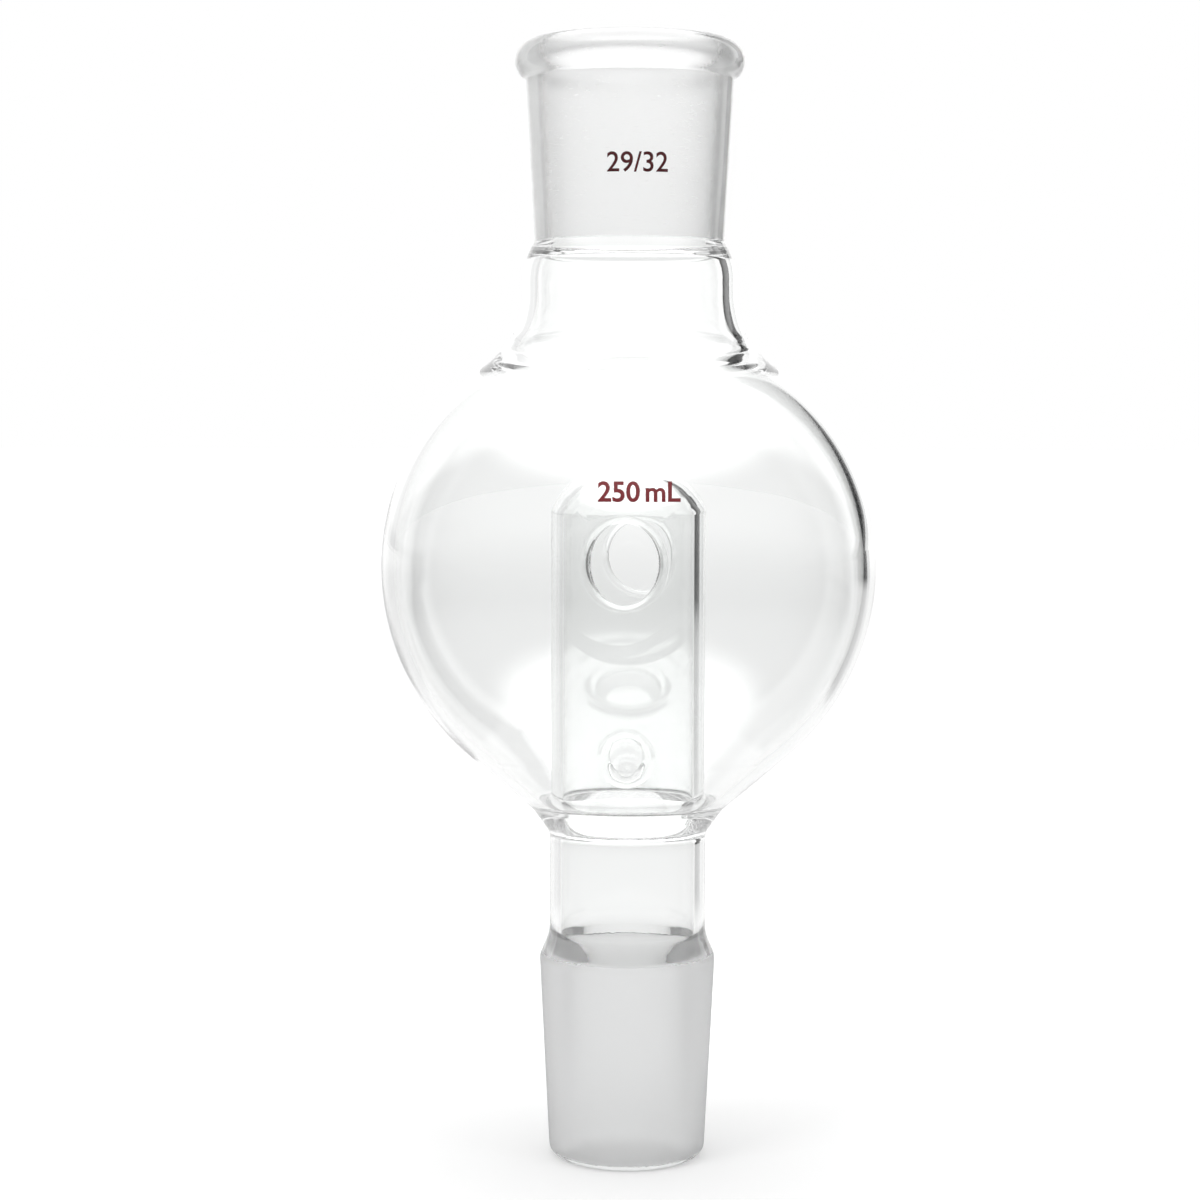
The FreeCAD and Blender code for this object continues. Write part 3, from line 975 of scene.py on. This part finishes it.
class Surround:
    """What lies which way from the object, for a way out whose sides are x and y and whose rise is z."""

    # Level ways whose share towards the front lies between these pass into the room in front
    FRONT = -0.62, -0.5
    # The right card leans between these rises, and both cards have edges this soft
    LEAN_RISES = math.radians(-1), math.radians(3)
    CARD_SOFTNESS = math.radians(1.5)

    def __init__(self, x, y, z, studio):
        self.studio = studio
        level = (x * x + y * y).maths("SQRT")
        self.turn = x.maths("ARCTAN2", y)
        self.rise = z.maths("ARCTAN2", level)
        self.front = (y / level * -1).ramp(*self.FRONT)

    def card(self):
        """The dark card to the right, whose near edge steps in above the horizon."""
        studio = self.studio
        lean = self.rise.ramp(*self.LEAN_RISES) * studio.card_lean
        return (self.turn + lean).between(studio.card_start, studio.card_end, self.CARD_SOFTNESS)

    def left_card(self):
        """The grey card to the left."""
        studio = self.studio
        start = studio.card_start - studio.card_lean
        return (self.turn * -1).between(start, studio.card_end, self.CARD_SOFTNESS)


def make_world(scene, studio):
    """White behind the object, in the glass and through it, with cards at its sides that draw the edges of
    the glass, a dimmer room in its gloss, a soft box overhead, and soft light elsewhere."""
    card_top_softness, room_top_softness = 0.1, 0.15
    glow_rises = math.radians(0.5), math.radians(2)
    world = bpy.data.worlds.new("Studio")
    world.use_nodes = True
    world.node_tree.nodes.clear()
    board = Board(world.node_tree)
    paths = LightPaths(board)
    around = Surround(*board.split(board.node("ShaderNodeTexCoord")), studio)
    high = 1 - around.rise.ramp(studio.card_high - card_top_softness, studio.card_high + card_top_softness)
    card = around.card() * high * (1 - studio.card_shade)
    left_card = around.left_card() * high * (1 - studio.left_shade)
    above = around.rise.ramp(studio.room_top - room_top_softness, studio.room_top + room_top_softness)
    room = (1 - above) * around.front * (1 - studio.room)
    bright = 1 + around.rise.ramp(*glow_rises) * studio.glow
    bright = bright + above * paths.turned * (studio.soft_box - 1)
    shown = bright * (1 - card.maths("MAXIMUM", left_card) * paths.darkness) * (1 - room * paths.darkness)
    in_sight = paths.seen * (paths.camera + (1 - paths.camera) * shown)
    strength = in_sight + (1 - paths.seen) * studio.surround
    light = board.node("ShaderNodeBackground", {}, {"Color": WHITE, "Strength": strength})
    board.node("ShaderNodeOutputWorld", {}, {"Surface": light})
    scene.world = world


def make_lamp(context, name, place, size, power):
    """A square soft lamp that looks at the middle of the object."""
    lamp = bpy.data.lights.new(name, "AREA")
    lamp.size = size
    lamp.energy = power
    lamp_object = bpy.data.objects.new(name, lamp)
    context.scene.collection.objects.link(lamp_object)
    lamp_object.location = place
    lamp_object.visible_glossy = lamp_object.visible_transmission = False
    away = Vector(place) - Vector((0, 0, 0.09))
    lamp_object.rotation_euler = away.to_track_quat("Z", "Y").to_euler()


def painted_floor_shade(board, paths, place, far, studio):
    """Painted shade on the floor as it shows in the glass, for the dim room in front: where the white sheet
    in front ends, raggedly at first and then little by little, and painted dark under the cards, which stand
    on it."""
    narrowness, least_spread, raggedness = 5.5, 0.8, 0.4
    sheet_edge, sheet_end = (0.95, 1.05), 3
    at_the_edge, beyond = 0.45, 0.55
    card_foot, card_far, at_the_foot, further = (0.2, 0.24), (0.8, 1.3), 0.4, 0.6
    left_card_painted_shade = 0.14
    x, y, z = board.split(place)
    around = Surround(x, y, z, studio)
    aside = x + studio.sheet_shift
    spread = (aside * aside * narrowness + y * y).maths("SQRT")
    ragged = spread * (least_spread + board.noise(place, "ragged", 3) * raggedness)
    edge = ragged.ramp(*(studio.sheet * part for part in sheet_edge))
    gone = edge * at_the_edge + far.ramp(studio.sheet, studio.sheet * sheet_end) * beyond
    in_glass = paths.seen * (1 - paths.camera)
    # Painted shade of the dim room in front, beyond the white sheet, seen only in the glass
    room = in_glass * around.front * gone * (1 - studio.room)
    foot = far.ramp(*card_foot)
    reach = foot * at_the_foot + far.ramp(*card_far) * further
    # The floor painted dark under the dark card and a little grey under the left card, seen only in the glass
    card = in_glass * around.card() * reach * (1 - studio.card_shade)
    left_card = in_glass * around.left_card() * foot * left_card_painted_shade
    return room.maths("MAXIMUM", card.maths("MAXIMUM", left_card)) * paths.darkness


def make_floor(context, studio):
    """A plain pale floor that shows white to the camera and in the glass, under the object's own shadow."""
    half_width, pale, roughness = 6, (0.9, 0.9, 0.9), 0.9
    lift_reach = 0.4, 2.5
    straight_lift, straight_rise = 0.26, 0.2
    glass_lift, glass_rise = 0.12, 0.25
    mesh = bpy.data.meshes.new("floor")
    corners = [(x * half_width, y * half_width, 0) for x, y in ((-1, -1), (1, -1), (1, 1), (-1, 1))]
    mesh.from_pydata(corners, [], [(0, 1, 2, 3)])
    material, board = new_material("pale_floor")
    paths = LightPaths(board)
    place = board.node("ShaderNodeTexCoord", {}, {}, output="Object")
    far = board.node("ShaderNodeVectorMath", {"operation": "LENGTH"}, {0: place}, output="Value")
    # Painted shade in the glass: the floor's colour and glow go to black beyond the white sheet and under the
    # cards, for the dim room in front
    dim = painted_floor_shade(board, paths, place, far, studio)
    rise = far.ramp(*lift_reach)
    straight = paths.camera * (straight_lift + rise * straight_rise)
    lift = straight + (1 - paths.camera) * (glass_lift + rise * glass_rise)
    # Base colour and glow carry the painted shade; the floor itself is plain pale
    floor_shader = board.node(
        "ShaderNodeBsdfPrincipled",
        {},
        {
            "Base Color": board.mix_colour(dim, opaque(pale), BLACK),
            "Roughness": roughness,
            "Specular IOR Level": 0,
            "Emission Color": WHITE,
            "Emission Strength": paths.seen * lift * (1 - dim),
        },
    )
    board.node("ShaderNodeOutputMaterial", {}, {"Surface": floor_shader})
    mesh.materials.append(material)
    floor = bpy.data.objects.new("floor", mesh)
    context.scene.collection.objects.link(floor)


def make_camera(context, studio):
    """The camera, a little left of the axis and looking slightly down."""
    camera = bpy.data.cameras.new("Camera")
    camera.lens = studio.lens
    camera.sensor_width = 36
    camera.clip_start = 0.01
    eye = bpy.data.objects.new("Camera", camera)
    context.scene.collection.objects.link(eye)
    place = Matrix.Translation((studio.camera_side, -studio.camera_back, studio.camera_height))
    tilt = Matrix.Rotation(math.pi / 2 - studio.camera_pitch, 4, "X")
    eye.matrix_world = place @ tilt @ Matrix.Rotation(studio.camera_roll, 4, "Z")
    context.scene.camera = eye


class BUMPTRAP_OT_studio(bpy.types.Operator):
    """Set up the pale floor, the soft light and the camera"""

    bl_idname = "bump_trap.studio"
    bl_label = "Studio"

    def execute(self, context):
        scene = context.scene
        make_camera(context, scene.trap_studio)
        make_world(scene, scene.trap_studio)
        make_floor(context, scene.trap_studio)
        for name, lamp in LAMPS.items():
            make_lamp(context, name, **lamp)
        scene.view_settings.view_transform = "Standard"
        for kind in ("max", "transmission", "glossy"):
            setattr(scene.cycles, f"{kind}_bounces", LONGEST_PATH)
        return {"FINISHED"}


class BUMPTRAP_PT_panel(bpy.types.Panel):
    """Lists what the trap is made of"""

    bl_label = "Bump Trap"
    bl_idname = "BUMPTRAP_PT_panel"
    bl_space_type = "VIEW_3D"
    bl_region_type = "UI"
    bl_category = "Bump Trap"

    def draw(self, context):
        scene = context.scene
        for operator in OPERATORS:
            self.layout.operator(operator.bl_idname)
        for group in (*(getattr(scene, name) for name in GROUPS), *scene.trap_ports):
            column = self.layout.column(align=True)
            for name in group.__annotations__:
                column.prop(group, name)


OPERATORS = (BUMPTRAP_OT_glass, BUMPTRAP_OT_marks, BUMPTRAP_OT_studio)
GROUPS = {
    "trap_sizes": TrapSizes,
    "trap_finish": GlassFinish,
    "trap_marks": MarkSizes,
    "trap_studio": StudioSettings,
}
PORTS = (
    {},
    {"width": 11.4, "height": 12, "level": 99.99, "turn": 167.3},
    {"width": 5.4, "height": 5.4, "lip": 1.1, "level": 68.99, "turn": -2},
)


def register():
    for kind in (*GROUPS.values(), PortSizes, *OPERATORS, BUMPTRAP_PT_panel):
        bpy.utils.register_class(kind)
    for name, kind in GROUPS.items():
        setattr(bpy.types.Scene, name, bpy.props.PointerProperty(type=kind))
    bpy.types.Scene.trap_ports = bpy.props.CollectionProperty(type=PortSizes)


def unregister():
    del bpy.types.Scene.trap_ports
    for name in GROUPS:
        delattr(bpy.types.Scene, name)
    for kind in (BUMPTRAP_PT_panel, *OPERATORS, PortSizes, *GROUPS.values()):
        bpy.utils.unregister_class(kind)


def main():
    register()
    for sizes in PORTS:
        port = bpy.context.scene.trap_ports.add()
        for name, value in sizes.items():
            setattr(port, name, math.radians(value) if name == "turn" else value * MM)
    bpy.ops.bump_trap.glass()
    bpy.ops.bump_trap.marks()
    bpy.ops.bump_trap.studio()


if __name__ == "__main__":
    main()
